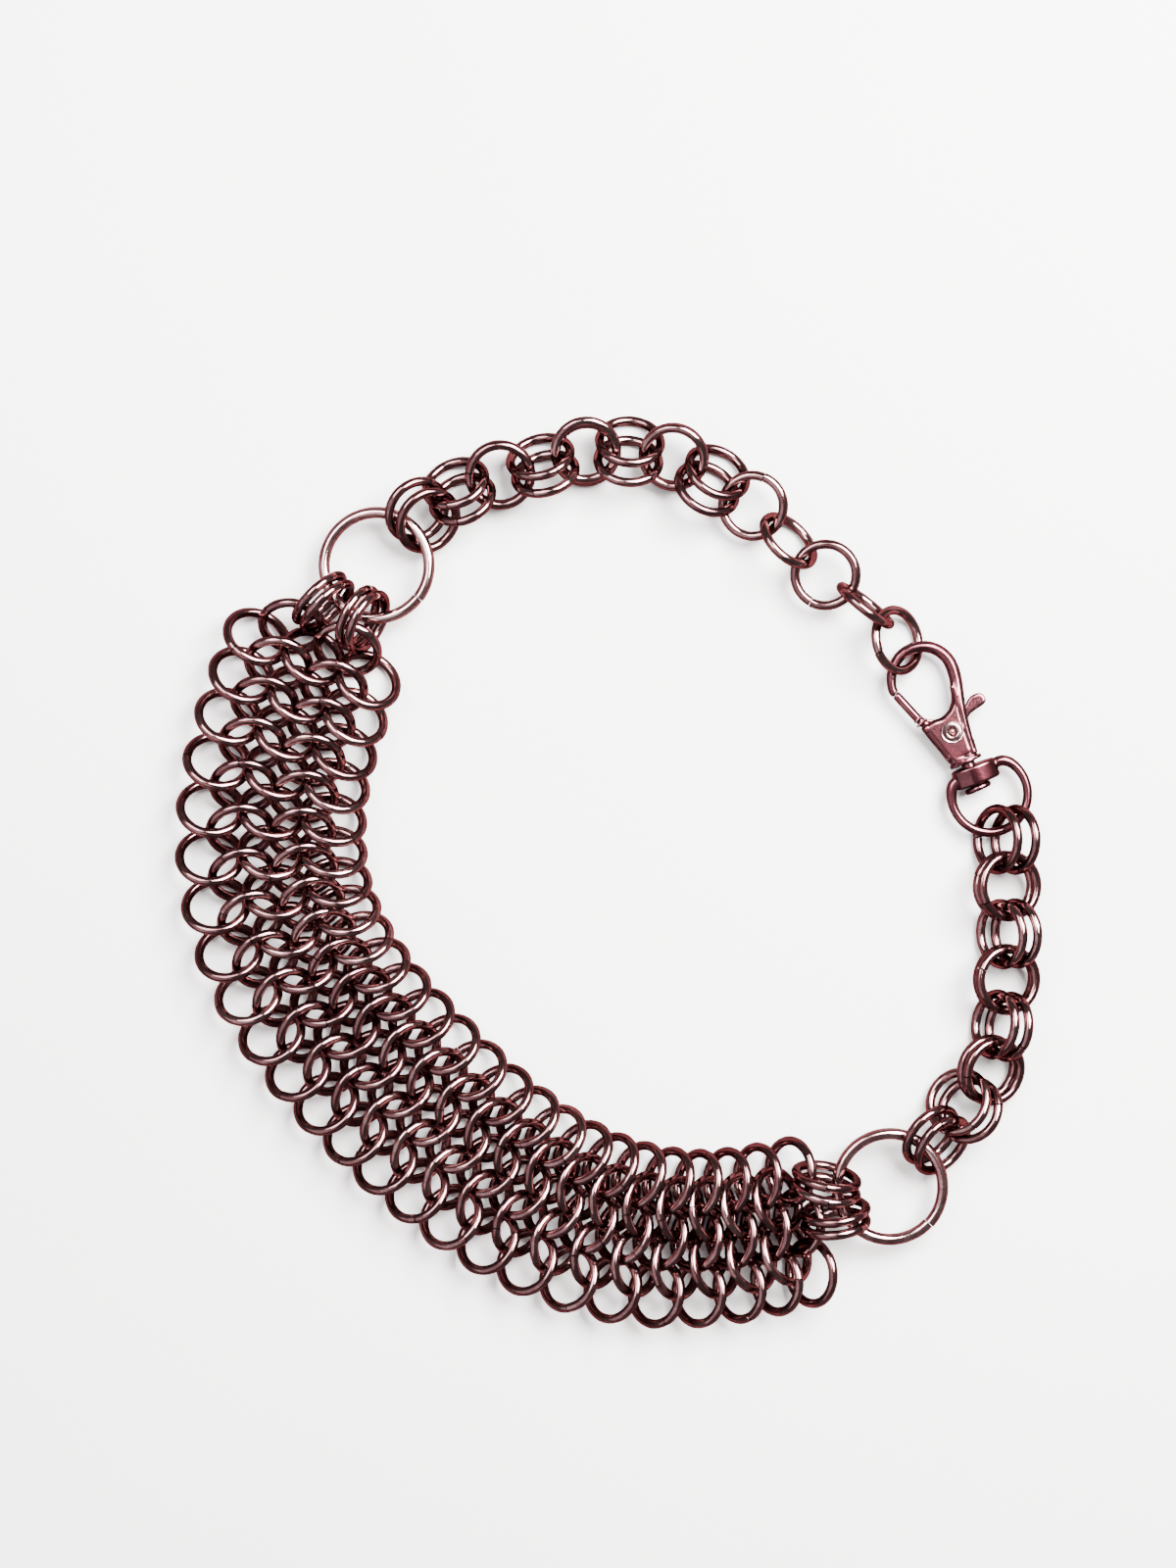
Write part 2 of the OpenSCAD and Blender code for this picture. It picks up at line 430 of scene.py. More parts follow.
def arc_place(middle, radius, angle):
    """Point on a circle, at an angle in degrees."""
    turn = math.radians(angle)
    return middle + radius * Vector((math.cos(turn), math.sin(turn)))


def cut_away(piece, cutter):
    """Take one closed shape away from another."""
    cut = piece.modifiers.new("cut", "BOOLEAN")
    cut.operation = "DIFFERENCE"
    cut.object = cutter
    cut.solver = "EXACT"
    finish_modifiers(piece)
    bpy.data.objects.remove(cutter)


def cast(name, pieces, grain, smoothings):
    """Melt overlapping shapes into one skin and soften it, as a casting is."""
    piece = join(name, pieces)
    skin = piece.modifiers.new("skin", "REMESH")
    skin.mode = "VOXEL"
    skin.voxel_size = grain
    skin.use_smooth_shade = True
    soft = piece.modifiers.new("soft", "SMOOTH")
    soft.factor = SMOOTHING
    soft.iterations = smoothings
    finish_modifiers(piece)
    return piece


def lay_in_clasp(piece):
    """Shrink a clasp piece to its size and lay it in its place."""
    piece.data.transform(CLASP_FRAME)
    piece.data.update()
    return piece


# Hook body

# Corners of the shank, its thickness and how far its rims are rounded over
SHANK_OUTLINE = [
    (-4.05, 2.0), (-3.95, 2.4), (-3.5, 2.7), (-1.9, 2.9), (-0.5, 2.8), (0.8, 3.2), (1.7, 3.97),
    (2.2, 4.8), (2.55, 5.9), (2.9, 6.9), (3.4, 6.8), (3.2, 4.3), (2.75, 2.0), (2.4, -0.5),
    (2.1, -3.0), (2.0, -4.1), (1.85, -4.35), (1.5, -4.4), (-1.9, -4.4), (-2.2, -4.35),
    (-2.35, -4.0), (-3.2, -1.1),
]
SHANK_THICKNESS = 2.6
SHANK_ROUNDING = 0.85

# Stations of x, y and radius: up the ridge on the shank's right side, and down to the hook's tip
RIDGE_LINE = [
    (1.72, -4.4, 0.82), (1.85, -3.2, 0.84), (2.05, -1.4, 0.88), (2.35, 0.6, 0.93),
    (2.68, 2.4, 0.96), (3.12, 4.3, 0.98), (3.68, 6.1, 1.0), (4.12, 7.8, 1.02),
]
TIP_LINE = [
    (-5.4, 10.8, 0.77), (-5.66, 9.9, 0.75), (-5.68, 9.3, 0.74), (-5.58, 8.98, 0.72),
    (-5.53, 8.83, 0.55), (-5.47, 8.65, 0.5),
]

# Bend between the two: its middle and radius, its turn in degrees, the wire's radius and how much
# the wire thins round it
BEND_MIDDLE = Vector((-0.6, 9.5))
BEND_RADIUS = 4.9
BEND_TURN = 150
BEND_STEP = 15
BEND_WIRE = 1.02
BEND_THINNING = 0.22

# The arm grows thicker across the clasp from one height down to another, by a factor
ARM_GROWTH = (7.6, 2.4, 1.62)

# Drums: start and end as x and y, radius, flatness and rounding of the rims
NECK = ((0.1, -4), (0.1, -4.95), 2.25, 0.4, 0)
COLLAR = ((0.2, -4.82), (0.2, -5.42), 2.66, 0.52, 0.16)
POST = ((0.4, -5), (0.4, -9.6), 1.08, 1, 0)
POST_HEAD = ((0.3, -9.2), (0.3, -10.1), 2.15, 0.85, 0.42)

# Slot for the lever, as the corners of two blocks: towards the gate, and out to the thumb tab
SLOT_BLOCKS = [
    ((-7, -2.4, -0.8), (1, 6, 0.8)),
    ((-7, -2.4, -0.8), (7, 3.5, 0.8)),
]

# Radius of the bore for the rivet
SHANK_BORE = 1.24

# Where the hook's tip and the gate end: inner and outer radius about the rivet that is cut from
# each, and the turns in degrees between which they are cut
TIP_CUT = (8.5, 10.46)
GATE_CUT = (10.37, 12.5)
GAP_TURNS = range(108, 137, 4)


def sector(name, inner, outer):
    """Cutter for the gap between the hook's tip and the gate: part of a disc round the rivet."""
    middle = Vector((0, 0))
    outline = [arc_place(middle, outer, angle) for angle in GAP_TURNS]
    outline += [arc_place(middle, inner, angle) for angle in reversed(GAP_TURNS)]
    return plate(name, outline, CUTTER_DEPTH, 0)


def hook_casting():
    """Body of the hook: tapered shank with its ridge and slot, hook, collar, post and post head."""
    shank = plate("shank", smooth_outline(SHANK_OUTLINE), SHANK_THICKNESS, SHANK_ROUNDING)
    arm = list(RIDGE_LINE)
    for angle in range(0, BEND_TURN + 1, BEND_STEP):
        place = arc_place(BEND_MIDDLE, BEND_RADIUS, angle)
        arm.append((place.x, place.y, BEND_WIRE - BEND_THINNING * angle / BEND_TURN))
    arm.extend(TIP_LINE)
    hook = rod("hook", arm)
    thicken(hook, *ARM_GROWTH)
    neck = drum("neck", *NECK)
    collar = drum("collar", *COLLAR)
    post = drum("post", *POST)
    head = drum("head", *POST_HEAD)
    parts = [shank, hook, neck, collar, post, head]
    casting = cast("hook_casting", parts, CASTING_GRAIN, HOOK_SMOOTHINGS)
    for low, high in SLOT_BLOCKS:
        cut_away(casting, block("slot", low, high))
    cut_away(casting, drum_across("bore", SHANK_BORE, CUTTER_DEPTH))
    cut_away(casting, sector("tip_gap", *TIP_CUT))
    return lay_in_clasp(casting)


# Lever

# Thickness of its sheet, and radii of its hub and of the hub's bore
LEVER_SHEET = 1.16
HUB_RADIUS = 2.05
HUB_BORE = 1.27

# Stations of x, y and radius along the gate, from the hub to its tip
GATE_LINE = [
    (-1.6, 1.5, 0.6), (-3.0, 2.3, 0.6), (-3.8, 3.6, 0.72), (-4.36, 5.3, 0.72),
    (-4.95, 7.05, 0.72), (-5.3, 8.1, 0.72), (-5.47, 8.62, 0.72), (-5.53, 8.83, 0.56),
    (-5.6, 9.05, 0.5),
]

# Corners of the gate's foot and of the thumb tab, and how far their rims are rounded over
FOOT_OUTLINE = [(-0.6, 1.9), (-1.9, 0.9), (-4.2, 2.9), (-3.3, 3.7)]
FOOT_ROUNDING = 0.25
TAB_OUTLINE = [
    (0.2, -1.9), (2.4, -0.4), (3.6, 1.2), (5.2, 1.65), (6.3, 1.85), (6.9, 2.25), (7.0, 2.95),
    (6.7, 3.6), (6.0, 3.9), (5.1, 3.85), (4.4, 3.5), (3.8, 3.0), (3.0, 2.5), (1.2, 1.6),
]
TAB_ROUNDING = 0.4

# Clamp marks at the gate's foot: middle and half the length of each, and the size of both
CRIMPS = [((-3.62, 3.15, 0), 0.95), ((-3.85, 3.85, 0), 0.8)]
CRIMP_HALF_WIDTH = 0.2
CRIMP_HALF_HEIGHT = 0.75
CRIMP_ROUNDING = 0.12
CRIMP_TURN = math.radians(20)


def sprung_lever():
    """Gate, hub and thumb tab in one piece, with the clamp marks at the gate's foot."""
    hub = drum_across("hub", HUB_RADIUS, LEVER_SHEET)
    gate = rod("gate", GATE_LINE)
    foot = plate("foot", smooth_outline(FOOT_OUTLINE), LEVER_SHEET, FOOT_ROUNDING)
    tab = plate("tab", smooth_outline(TAB_OUTLINE), LEVER_SHEET, TAB_ROUNDING)
    crimps = []
    for middle, half_length in CRIMPS:
        corner = Vector((half_length, CRIMP_HALF_WIDTH, CRIMP_HALF_HEIGHT))
        crimp = block("crimp", -corner, corner, CRIMP_ROUNDING)
        crimp.data.transform(Matrix.Translation(middle) @ Matrix.Rotation(CRIMP_TURN, 4, "Z"))
        crimps.append(crimp)
    parts = [hub, gate, foot, tab, *crimps]
    piece = cast("sprung_lever", parts, LEVER_GRAIN, LEVER_SMOOTHINGS)
    cut_away(piece, drum_across("lever_bore", HUB_BORE, CUTTER_DEPTH))
    cut_away(piece, sector("gate_end", *GATE_CUT))
    return lay_in_clasp(piece)


# Rivet

# Radius and height of its section, from its narrow waist up over the lip and down the wider rim
RIVET_TOP = [
    (0.03, 0), (0.72, 0.7), (0.72, 1.6), (0.75, 1.86), (0.83, 1.99), (0.93, 2.02), (1.03, 1.95),
    (1.09, 1.8), (1.12, 1.42), (1.46, 1.38), (1.5, 1.6), (1.58, 1.74), (1.68, 1.76), (1.76, 1.66),
    (1.79, 1.5), (1.79, 1.32), (1.19, 1.32), (1.19, 0),
]
RIVET_SECTION = RIVET_TOP + [(radius, -height) for radius, height in reversed(RIVET_TOP[1:-1])]

# Steps round the rivet, and how near each other two of its points are one point
RIVET_STEPS = 64
RIVET_WELD = 0.001


def tubular_rivet():
    """Hollow rivet with a rolled lip inside a wider rim, on both faces of the shank."""
    select_none()
    bpy.ops.mesh.primitive_circle_add(vertices=len(RIVET_SECTION), radius=1)
    piece = bpy.context.object
    piece.name = "tubular_rivet"
    for point, (radius, height) in zip(piece.data.vertices, RIVET_SECTION):
        point.co = (radius, 0, height)
    bpy.ops.object.mode_set(mode="EDIT")
    bpy.ops.mesh.select_all(action="SELECT")
    bpy.ops.mesh.spin(steps=RIVET_STEPS, angle=math.tau, center=ORIGIN, axis=UPWARDS)
    bpy.ops.object.mode_set(mode="OBJECT")
    close_skin(RIVET_WELD)
    bpy.ops.object.shade_smooth_by_angle(angle=SMOOTH_ANGLE)
    return lay_in_clasp(piece)


# Swivel

# Round eye: its middle and radius, its first and last turn in degrees, the wire's radius, and how
# much the wire swells towards both ends and over how many degrees
EYE_MIDDLE = Vector((1.5, -11.3))
EYE_RADIUS = 5.98
EYE_FIRST = 145
EYE_LAST = 407
EYE_STEP = 12
EYE_WIRE = 0.73
EYE_SWELL = 0.16
EYE_SWELL_TURN = 36

# Stations of x, y and radius where the eye runs into the drum's shoulders
LEFT_SHOULDER = [(-1.8, -7.5, 0.9), (-2.5, -7.3, 0.9)]
RIGHT_SHOULDER = [(4.9, -6.95, 0.88), (4.2, -7.25, 0.8), (3.2, -7.5, 0.9)]

# Drum and the hole for the post: start and end as x and y, radius, flatness and rounding
SWIVEL_DRUM = ((0.8, -6.0), (0.8, -9.0), 3.6, 0.55, 0.4)
POST_HOLE = ((0.4, -5.5), (0.4, -9.7), 1.2, 1, 0)

# The drum leans about its middle, within the clasp's plane and out of it
DRUM_MIDDLE = Matrix.Translation((0.8, -7.6, 0))
DRUM_TURN = math.radians(-3)
DRUM_TILT = math.radians(5)
DRUM_LEAN = Matrix.Rotation(DRUM_TURN, 4, "Z") @ Matrix.Rotation(DRUM_TILT, 4, "X")


def swivel_casting():
    """Drum that turns on the post, with its shoulders drawn out into the round eye."""
    stations = list(LEFT_SHOULDER)
    for angle in range(EYE_FIRST, EYE_LAST + 1, EYE_STEP):
        place = arc_place(EYE_MIDDLE, EYE_RADIUS, angle)
        swell = max(0, 1 - min(angle - EYE_FIRST, EYE_LAST - angle) / EYE_SWELL_TURN)
        stations.append((place.x, place.y, EYE_WIRE + EYE_SWELL * swell))
    stations.extend(RIGHT_SHOULDER)
    eye = rod("eye", stations)
    body = drum("swivel_body", *SWIVEL_DRUM)
    body.data.transform(DRUM_MIDDLE @ DRUM_LEAN @ DRUM_MIDDLE.inverted())
    casting = cast("swivel_casting", [eye, body], CASTING_GRAIN, SWIVEL_SMOOTHINGS)
    cut_away(casting, drum("post_hole", *POST_HOLE))
    return lay_in_clasp(casting)


# Finishes

# Steels: base colour where clean, half tarnished and dark, then lowest and highest roughness. Cast
# ones also have the strength of their pits and how much their edges and corners are marked
WIRE_STEEL = {
    "clean": (0.23, 0.13, 0.13, 1),
    "middle": (0.13, 0.058, 0.061, 1),
    "dark": (0.085, 0.031, 0.034, 1),
    "gloss": (0.08, 0.17),
}
LARGE_RING_STEEL = {
    "clean": (0.42, 0.29, 0.285, 1),
    "middle": (0.28, 0.15, 0.155, 1),
    "dark": (0.14, 0.055, 0.06, 1),
    "gloss": (0.09, 0.18),
}
CASTING_STEEL = {
    "clean": (0.13, 0.046, 0.053, 1),
    "middle": (0.082, 0.019, 0.026, 1),
    "dark": (0.045, 0.008, 0.012, 1),
    "gloss": (0.13, 0.26),
    "pits": 0.16,
    "wear_and_painted_light": 0.35,
}
LEVER_STEEL = {
    "clean": (0.19, 0.075, 0.083, 1),
    "middle": (0.12, 0.032, 0.042, 1),
    "dark": (0.06, 0.011, 0.017, 1),
    "gloss": (0.1, 0.2),
    "pits": 0.25,
    "wear_and_painted_light": 0.35,
}
# Rivet: its pale clean steel with full edge marking is a painted highlight on its lips, and its
# near-black dark steel in the groove is painted shade
RIVET_PAINTED_LIGHT_STEEL = {
    "clean": (0.62, 0.5, 0.48, 1),
    "middle": (0.42, 0.28, 0.28, 1),
    "dark": (0.03, 0.008, 0.01, 1),
    "gloss": (0.12, 0.2),
    "pits": 0.1,
    "wear_and_painted_light": 1.0,
}

# Colour that the steel takes where it is seen almost edge on
EDGE_TINT = (0.24, 0.11, 0.12, 1)

# Thin clear coat: its weight and its roughness
WIRE_COAT = (0.5, 0.05)
CAST_COAT = (0.5, 0.12)

# Scale of the tarnish's patches, the tone of a casting, and how far a tone shifts the tarnish
WIRE_PATCHES = 420.0
CAST_PATCHES = 520.0
CAST_TONE = 0.45
TONE_SHARE = 0.22

# Detail and roughness of the noises: large and fine patches of tarnish, and fine lines
LARGE_NOISE = (5.0, 0.6)
FINE_NOISE = (3.0, 0.55)
LINE_NOISE = (4.0, 0.7)

# How much finer the fine patches are than the large ones, and their share
FINE_SCALE = 6.5
FINE_SHARE = 0.3

# Range of the noise that the tarnish spreads over, and the parts of it over which the colour goes
# from dark to half tarnished and on to clean
TARNISH_RANGE = (0.42, 0.78)
LOWER_STEP = (0.0, 0.55)
UPPER_STEP = (0.5, 1.0)

# Lines in drawn wire: their scale and stretch, the tarnish's share in the relief, its strength and
# its depth in metres
LINE_SCALE = 2.2
LINE_STRETCH = (0.25, 14.0, 1.0)
PATCH_SHARE = 0.35
LINE_STRENGTH = 0.14
LINE_DEPTH = 0.00004

# Pits in castings: their scale and stretch, and their depth in metres
PIT_SCALE = 2600.0
PIT_STRETCH = (1.0, 0.4, 1.0)
PIT_DEPTH = 0.00005

# How pointed the surface is from where a lightened edge and a darkened corner begin to where they are
# full
# Edges: rubbed wear on the castings, painted highlights on the rivet; corners: tarnish on the
# castings, painted shade on the rivet
EDGE_RANGE = (0.52, 0.6)
CORNER_RANGE = (0.48, 0.4)

# Floor: its two pale tones and where they lie in its soft clouds, the clouds' scale and detail, the
# dark red painted reflection that polished steel shows in place of it, and its roughness
FLOOR_TONES = [(0.3, (0.545, 0.54, 0.54, 1)), (0.7, (0.56, 0.557, 0.557, 1))]
FLOOR_CLOUDS = 9.0
FLOOR_DETAIL = 3.0
FLOOR_PAINTED_REFLECTION = (0.1, 0.025, 0.03, 1)
FLOOR_ROUGHNESS = 0.9


def add_node(tree, kind, links=None, **settings):
    """Node of a kind, with its settings, its values and its links by socket name or number."""
    node = tree.nodes.new("ShaderNode" + kind)
    for title, value in settings.items():
        setattr(node, title, value)
    for title, value in (links or {}).items():
        socket = node.inputs[title]
        if isinstance(value, bpy.types.NodeSocket):
            tree.links.new(value, socket)
        else:
            socket.default_value = value
    return node


def noise(tree, place, scale, character):
    """Soft noise of a scale, with its detail and roughness."""
    detail, roughness = character
    links = {"Vector": place, "Scale": scale, "Detail": detail, "Roughness": roughness}
    return add_node(tree, "TexNoise", links).outputs["Fac"]


def stretch_range(tree, value, limits):
    """Value stretched so that its two limits become 0 and 1."""
    links = {"Value": value, "From Min": limits[0], "From Max": limits[1]}
    return add_node(tree, "MapRange", links).outputs["Result"]


def mix_values(tree, share, first, second):
    """Mix of two values, which the node takes in its sockets 2 and 3."""
    links = {"Factor": share, 2: first, 3: second}
    return add_node(tree, "Mix", links, data_type="FLOAT").outputs[0]


def mix_colours(tree, share, first, second):
    """Mix of two colours, which the node takes in its sockets 6 and 7."""
    links = {"Factor": share, 6: first, 7: second}
    return add_node(tree, "Mix", links, data_type="RGBA").outputs[2]


def new_group(name, inputs, outputs):
    """Empty node group with named sockets, and the sockets of its two ends."""
    group = bpy.data.node_groups.new(name, "ShaderNodeTree")
    for title, kind in inputs:
        group.interface.new_socket(name=title, in_out="INPUT", socket_type="NodeSocket" + kind)
    for title, kind in outputs:
        group.interface.new_socket(name=title, in_out="OUTPUT", socket_type="NodeSocket" + kind)
    given = group.nodes.new("NodeGroupInput").outputs
    result = group.nodes.new("NodeGroupOutput").inputs
    return group, given, result


def place_group(tree, group, links):
    """One use of a shared group in a material, with its own values."""
    return add_node(tree, "Group", links, node_tree=group).outputs


def tarnish_group():
    """Tarnish: clean, middle and dark steel mixed in soft patches, with a tone for each ring."""
    group, given, result = new_group(
        "tarnish",
        [
            ("Vector", "Vector"), ("Scale", "Float"), ("Tone", "Float"),
            ("Clean", "Color"), ("Middle", "Color"), ("Dark", "Color"),
            ("Roughness Low", "Float"), ("Roughness High", "Float"),
        ],
        [("Color", "Color"), ("Roughness", "Float"), ("Patches", "Float")],
    )
    large = noise(group, given["Vector"], given["Scale"], LARGE_NOISE)
    finer = add_node(group, "Math", {0: given["Scale"], 1: FINE_SCALE}, operation="MULTIPLY")
    fine = noise(group, given["Vector"], finer.outputs[0], FINE_NOISE)
    both = mix_values(group, FINE_SHARE, large, fine)
    links = {0: given["Tone"], 1: TONE_SHARE, 2: both}
    toned = add_node(group, "Math", links, operation="MULTIPLY_ADD")
    patches = stretch_range(group, toned.outputs[0], TARNISH_RANGE)
    lower = stretch_range(group, patches, LOWER_STEP)
    upper = stretch_range(group, patches, UPPER_STEP)
    half_way = mix_colours(group, lower, given["Dark"], given["Middle"])
    colour = mix_colours(group, upper, half_way, given["Clean"])
    links = {
        "Value": patches,
        "To Min": given["Roughness High"],
        "To Max": given["Roughness Low"],
    }
    rough = add_node(group, "MapRange", links)
    group.links.new(colour, result["Color"])
    group.links.new(rough.outputs["Result"], result["Roughness"])
    group.links.new(patches, result["Patches"])
    return group


def drawn_lines_group():
    """Long fine lines in the direction in which the pattern is stretched."""
    group, given, result = new_group(
        "drawn_lines",
        [("Vector", "Vector"), ("Stretch", "Vector"), ("Scale", "Float")],
        [("Lines", "Float")],
    )
    links = {0: given["Vector"], 1: given["Stretch"]}
    stretched = add_node(group, "VectorMath", links, operation="MULTIPLY")
    lines = noise(group, stretched.outputs[0], given["Scale"], LINE_NOISE)
    group.links.new(lines, result["Lines"])
    return group


def edge_and_corner_group():
    """Masks high on sharp outer edges and in corners: wear on castings, painted highlight and shade on
    the rivet.
    """
    group, given, result = new_group(
        "edges_and_corners", [("Amount", "Float")], [("Edges", "Float"), ("Corners", "Float")]
    )
    pointiness = add_node(group, "NewGeometry").outputs["Pointiness"]
    for title, limits in (("Edges", EDGE_RANGE), ("Corners", CORNER_RANGE)):
        links = {
            "Value": pointiness,
            "From Min": limits[0],
            "From Max": limits[1],
            "To Max": given["Amount"],
        }
        mask = add_node(group, "MapRange", links)
        group.links.new(mask.outputs["Result"], result[title])
    return group


def new_material(name):
    """Empty material with its principled shader on the output."""
    material = bpy.data.materials.new(name)
    material.use_nodes = True
    tree = material.node_tree
    tree.nodes.clear()
    shader = add_node(tree, "BsdfPrincipled")
    output = add_node(tree, "OutputMaterial")
    tree.links.new(shader.outputs["BSDF"], output.inputs["Surface"])
    return material, tree, shader


def tarnish(tree, groups, place, scale, tone, steel):
    """Tarnish of a steel in a material, in patches of one scale."""
    return place_group(
        tree,
        groups["tarnish"],
        {
            "Vector": place,
            "Scale": scale,
            "Tone": tone,
            "Clean": steel["clean"],
            "Middle": steel["middle"],
            "Dark": steel["dark"],
            "Roughness Low": steel["gloss"][0],
            "Roughness High": steel["gloss"][1],
        },
    )


def make_steel(tree, shader, colour, roughness, normal, coat):
    """Set the shader up as bare metal under a thin coat."""
    tree.links.new(colour, shader.inputs["Base Color"])
    tree.links.new(roughness, shader.inputs["Roughness"])
    tree.links.new(normal, shader.inputs["Normal"])
    shader.inputs["Metallic"].default_value = 1.0
    shader.inputs["Specular Tint"].default_value = EDGE_TINT
    shader.inputs["Coat Weight"].default_value = coat[0]
    shader.inputs["Coat Roughness"].default_value = coat[1]


def relief(tree, height, strength, depth):
    """Normal of a fine relief."""
    links = {"Strength": strength, "Distance": depth, "Height": height}
    return add_node(tree, "Bump", links).outputs["Normal"]


def wire_finish(name, groups, steel):
    """Drawn wire, tarnished in patches, its fine lines running along the wire."""
    material, tree, shader = new_material(name)
    along = add_node(tree, "UVMap", uv_map="along").outputs["UV"]
    place = add_node(tree, "TexCoord").outputs["Object"]
    tone = add_node(tree, "Attribute", attribute_name="tone").outputs["Fac"]
    tarnished = tarnish(tree, groups, place, WIRE_PATCHES, tone, steel)
    links = {"Vector": along, "Stretch": LINE_STRETCH, "Scale": LINE_SCALE}
    lines = place_group(tree, groups["lines"], links)
    height = mix_values(tree, PATCH_SHARE, lines["Lines"], tarnished["Patches"])
    normal = relief(tree, height, LINE_STRENGTH, LINE_DEPTH)
    make_steel(tree, shader, tarnished["Color"], tarnished["Roughness"], normal, WIRE_COAT)
    return material


def cast_finish(name, groups, steel):
    """Plated casting: shallow pits, darker corners and brighter edges: tarnish and rubbing, on the
    rivet painted shade and highlights.
    """
    material, tree, shader = new_material(name)
    place = add_node(tree, "TexCoord").outputs["Object"]
    tarnished = tarnish(tree, groups, place, CAST_PATCHES, CAST_TONE, steel)
    edge_and_corner_masks = place_group(tree, groups["wear_and_painted_light"], {"Amount": steel["wear_and_painted_light"]})
    links = {"Vector": place, "Stretch": PIT_STRETCH, "Scale": PIT_SCALE}
    pits = place_group(tree, groups["lines"], links)
    # Lightened edges and darkened corners: rubbing and tarnish on the castings, painted highlights and
    # painted shade on the rivet
    bright = mix_colours(tree, edge_and_corner_masks["Edges"], tarnished["Color"], steel["clean"])
    shaded = mix_colours(tree, edge_and_corner_masks["Corners"], bright, steel["dark"])
    normal = relief(tree, pits["Lines"], steel["pits"], PIT_DEPTH)
    make_steel(tree, shader, shaded, tarnished["Roughness"], normal, CAST_COAT)
    return material


def floor_finish():
    """Pale matt table top with a very faint unevenness, seen in polished steel as a dark red painted
    reflection.
    """
    material, tree, shader = new_material("pale_floor")
    place = add_node(tree, "TexCoord").outputs["Object"]
    links = {"Vector": place, "Scale": FLOOR_CLOUDS, "Detail": FLOOR_DETAIL}
    clouds = add_node(tree, "TexNoise", links)
    ramp = add_node(tree, "ValToRGB", {"Fac": clouds.outputs["Fac"]})
    for stop, (position, colour) in zip(ramp.color_ramp.elements, FLOOR_TONES):
        stop.position = position
        stop.color = colour
    # Painted reflection: rays mirrored off the steel see a dark red floor instead of the pale one
    mirrored = add_node(tree, "LightPath").outputs["Is Glossy Ray"]
    painted_reflection_colour = mix_colours(tree, mirrored, ramp.outputs["Color"], FLOOR_PAINTED_REFLECTION)
    tree.links.new(painted_reflection_colour, shader.inputs["Base Color"])
    shader.inputs["Roughness"].default_value = FLOOR_ROUGHNESS
    return material


def wear(piece, material, body, slot, *nodes):
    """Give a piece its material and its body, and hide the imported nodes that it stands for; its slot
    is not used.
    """
    piece.data.materials.clear()
    piece.data.materials.append(material)
    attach(piece, body)
    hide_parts(*nodes)


# Camera, floor and light

# Middle of the picture on the floor, the height of the camera, and how much the picture covers from
# bottom to top at the height of the mail's middle
VIEW_MIDDLE = (-3.144 * MM, 13.409 * MM)
CAMERA_HEIGHT = 450 * MM
MIDDLE_OF_MAIL = 5 * MM
PICTURE_HEIGHT = 242.72 * MM

# Height of the camera's sensor in millimetres, and the nearest distance drawn in metres
SENSOR = 36
NEAREST = 0.01

# Side of the floor in metres
FLOOR_SIDE = 4

# Square soft lights: name, place, side, power and colour
LIGHTS = [
    ("key", (0.24, 0.24, 0.46), 0.36, 48.0, (1, 0.975, 0.95)),
    ("side", (-0.22, 0.22, 0.5), 0.3, 7.0, (1, 0.94, 0.93)),
    ("fill", (-0.6, -0.25, 0.8), 1.2, 8.0, (1, 0.85, 0.9)),
]
SURROUND_COLOUR = (1, 0.98, 0.98, 1)
SURROUND_STRENGTH = 0.26


def top_camera():
    """Camera straight above, covering what the photograph covers."""
    lens = bpy.data.cameras.new("top_view")
    lens.sensor_fit = "VERTICAL"
    lens.sensor_height = SENSOR
    lens.lens = SENSOR * (CAMERA_HEIGHT - MIDDLE_OF_MAIL) / PICTURE_HEIGHT
    lens.clip_start = NEAREST
    camera = bpy.data.objects.new("top_view", lens)
    camera.location = (*VIEW_MIDDLE, CAMERA_HEIGHT)
    bpy.context.collection.objects.link(camera)
    bpy.context.scene.camera = camera


def soft_light(name, place, side, power, colour):
    """Square area light aimed at the middle of the choker."""
    lamp = bpy.data.lights.new(name, "AREA")
    lamp.size = side
    lamp.energy = power
    lamp.color = colour
    light = bpy.data.objects.new(name, lamp)
    light.location = place
    light.rotation_euler = (-Vector(place)).to_track_quat("-Z", "Y").to_euler()
    bpy.context.collection.objects.link(light)


def studio():
    """Pale floor, a bright soft key from the upper right, two weak lights and a pale surround."""
    select_none()
    bpy.ops.mesh.primitive_plane_add(size=FLOOR_SIDE)
    floor = bpy.context.object
    floor.name = "floor"
    floor.data.materials.append(floor_finish())
    for light in LIGHTS:
        soft_light(*light)
    world = bpy.data.worlds.new("surround")
    bpy.context.scene.world = world
    world.use_nodes = True
    background = world.node_tree.nodes["Background"]
    background.inputs["Color"].default_value = SURROUND_COLOUR
    background.inputs["Strength"].default_value = SURROUND_STRENGTH


# Build

# Rings in each of the two chains, and in the extension chain
CHAIN_RINGS = 16
EXTENSION_RINGS = 5

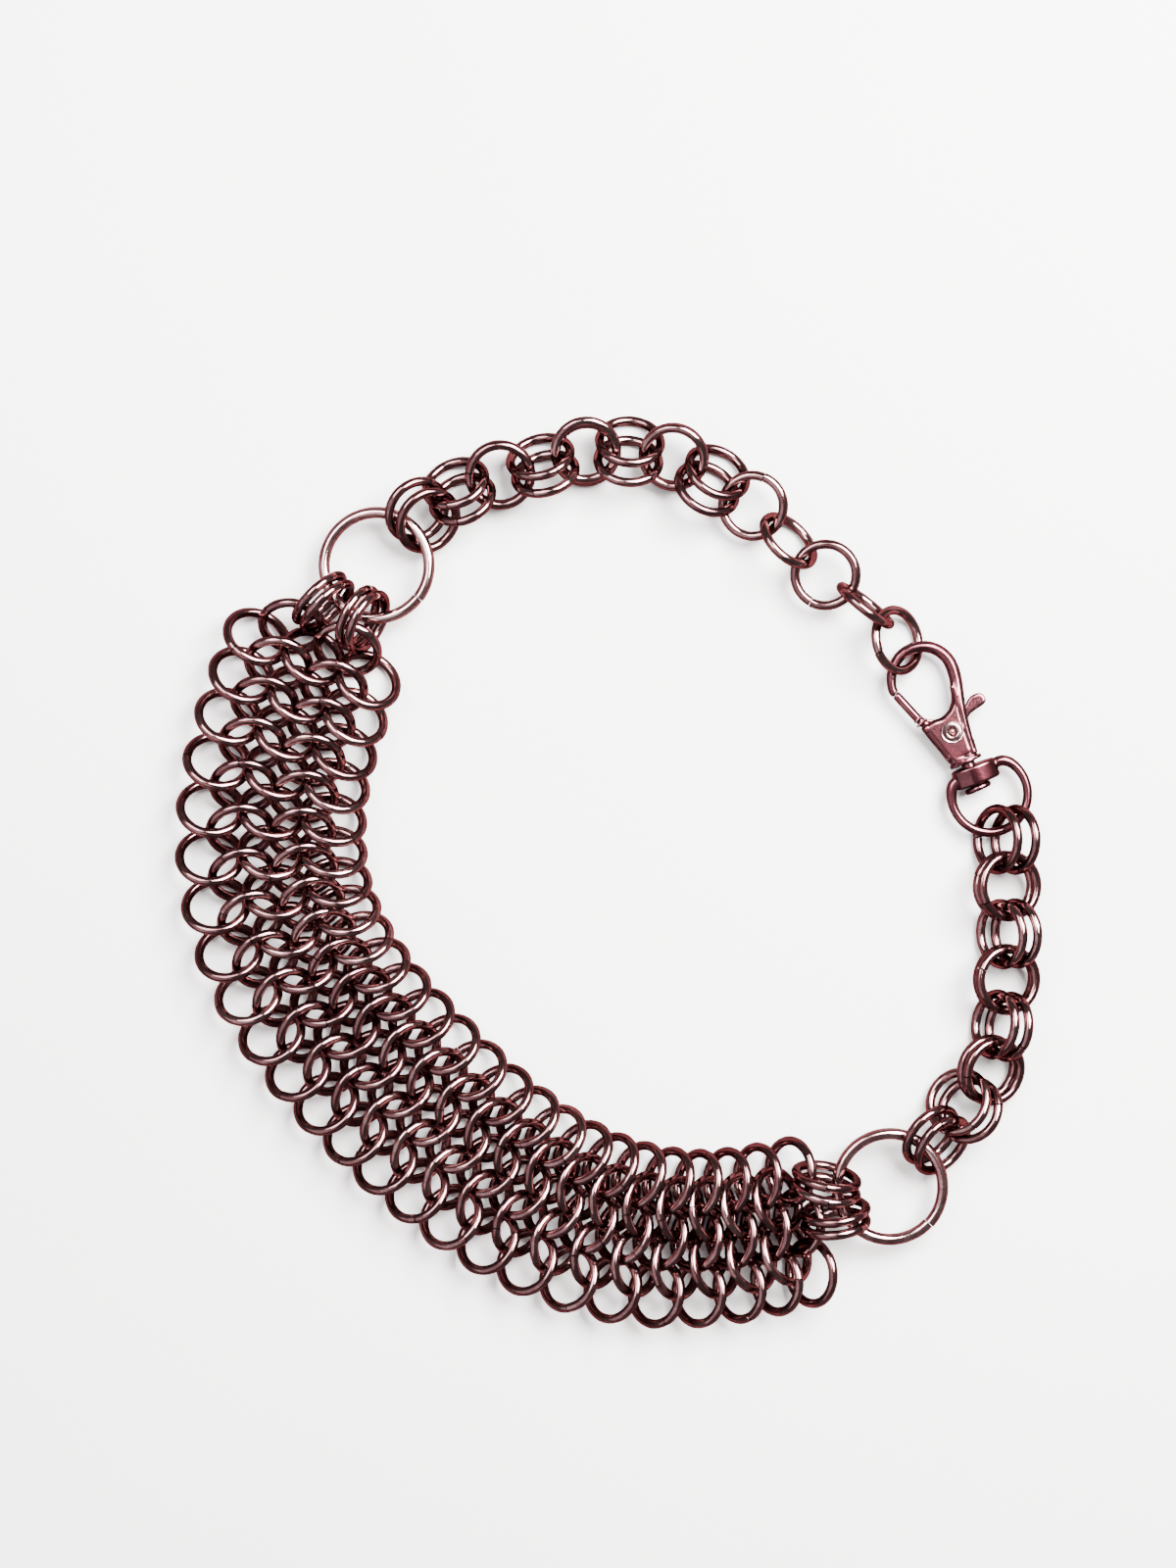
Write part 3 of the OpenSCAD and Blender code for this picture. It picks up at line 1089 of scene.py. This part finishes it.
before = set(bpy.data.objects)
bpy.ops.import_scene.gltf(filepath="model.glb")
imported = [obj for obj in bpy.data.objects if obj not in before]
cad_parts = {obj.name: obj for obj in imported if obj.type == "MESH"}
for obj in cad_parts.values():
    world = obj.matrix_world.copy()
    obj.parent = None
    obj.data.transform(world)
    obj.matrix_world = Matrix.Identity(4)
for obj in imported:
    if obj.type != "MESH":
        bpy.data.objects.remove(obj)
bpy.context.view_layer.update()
top_camera()
studio()

small_rings = [
    wire_ring(f"small_ring_{number}", SMALL_RING, SMALL_STEPS, cut)
    for number, cut in enumerate(SMALL_CUTS)
]
large_ring = wire_ring("large_ring", LARGE_RING, LARGE_STEPS, LARGE_CUT)

finish_groups = {"tarnish": tarnish_group(), "lines": drawn_lines_group(), "wear_and_painted_light": edge_and_corner_group()}
mail_finish = wire_finish("tarnished_mail_wire", finish_groups, WIRE_STEEL)
chain_finish = wire_finish("tarnished_chain_wire", finish_groups, WIRE_STEEL)
large_finish = wire_finish("satin_ring_wire", finish_groups, LARGE_RING_STEEL)
clasp_finish = cast_finish("plated_casting", finish_groups, CASTING_STEEL)
lever_finish = cast_finish("plated_lever", finish_groups, LEVER_STEEL)
rivet_painted_light_finish = cast_finish("rivet_with_painted_highlights_and_shade", finish_groups, RIVET_PAINTED_LIGHT_STEEL)

chance = random.Random(SEED)
for node in ("mail_band", "left_connectors", "right_connectors"):
    wear(dress_node(node, small_rings, chance), mail_finish, "choker", "mail_steel", node)
chain_nodes = [
    f"{side}_link_{number:02d}"
    for side in ("left", "right")
    for number in range(1, CHAIN_RINGS + 1)
]
chain_nodes += [f"extension_link_{number}" for number in range(1, EXTENSION_RINGS + 1)]
for node in chain_nodes:
    wear(dress_node(node, small_rings, chance), chain_finish, "choker", "chain_steel", node)
for node, turn in LARGE_CUT_TURNS.items():
    rings = dress_node(node, [large_ring], chance, [turn])
    wear(rings, large_finish, "choker", "chain_steel", node)
for template in (*small_rings, large_ring):
    bpy.data.objects.remove(template)

wear(hook_casting(), clasp_finish, "choker", "clasp_steel", "hook_body")
wear(swivel_casting(), clasp_finish, "choker", "clasp_steel", "swivel_eye")
wear(tubular_rivet(), rivet_painted_light_finish, "choker", "clasp_steel", "rivet")
wear(sprung_lever(), lever_finish, "lever", "lever_steel", "lever")
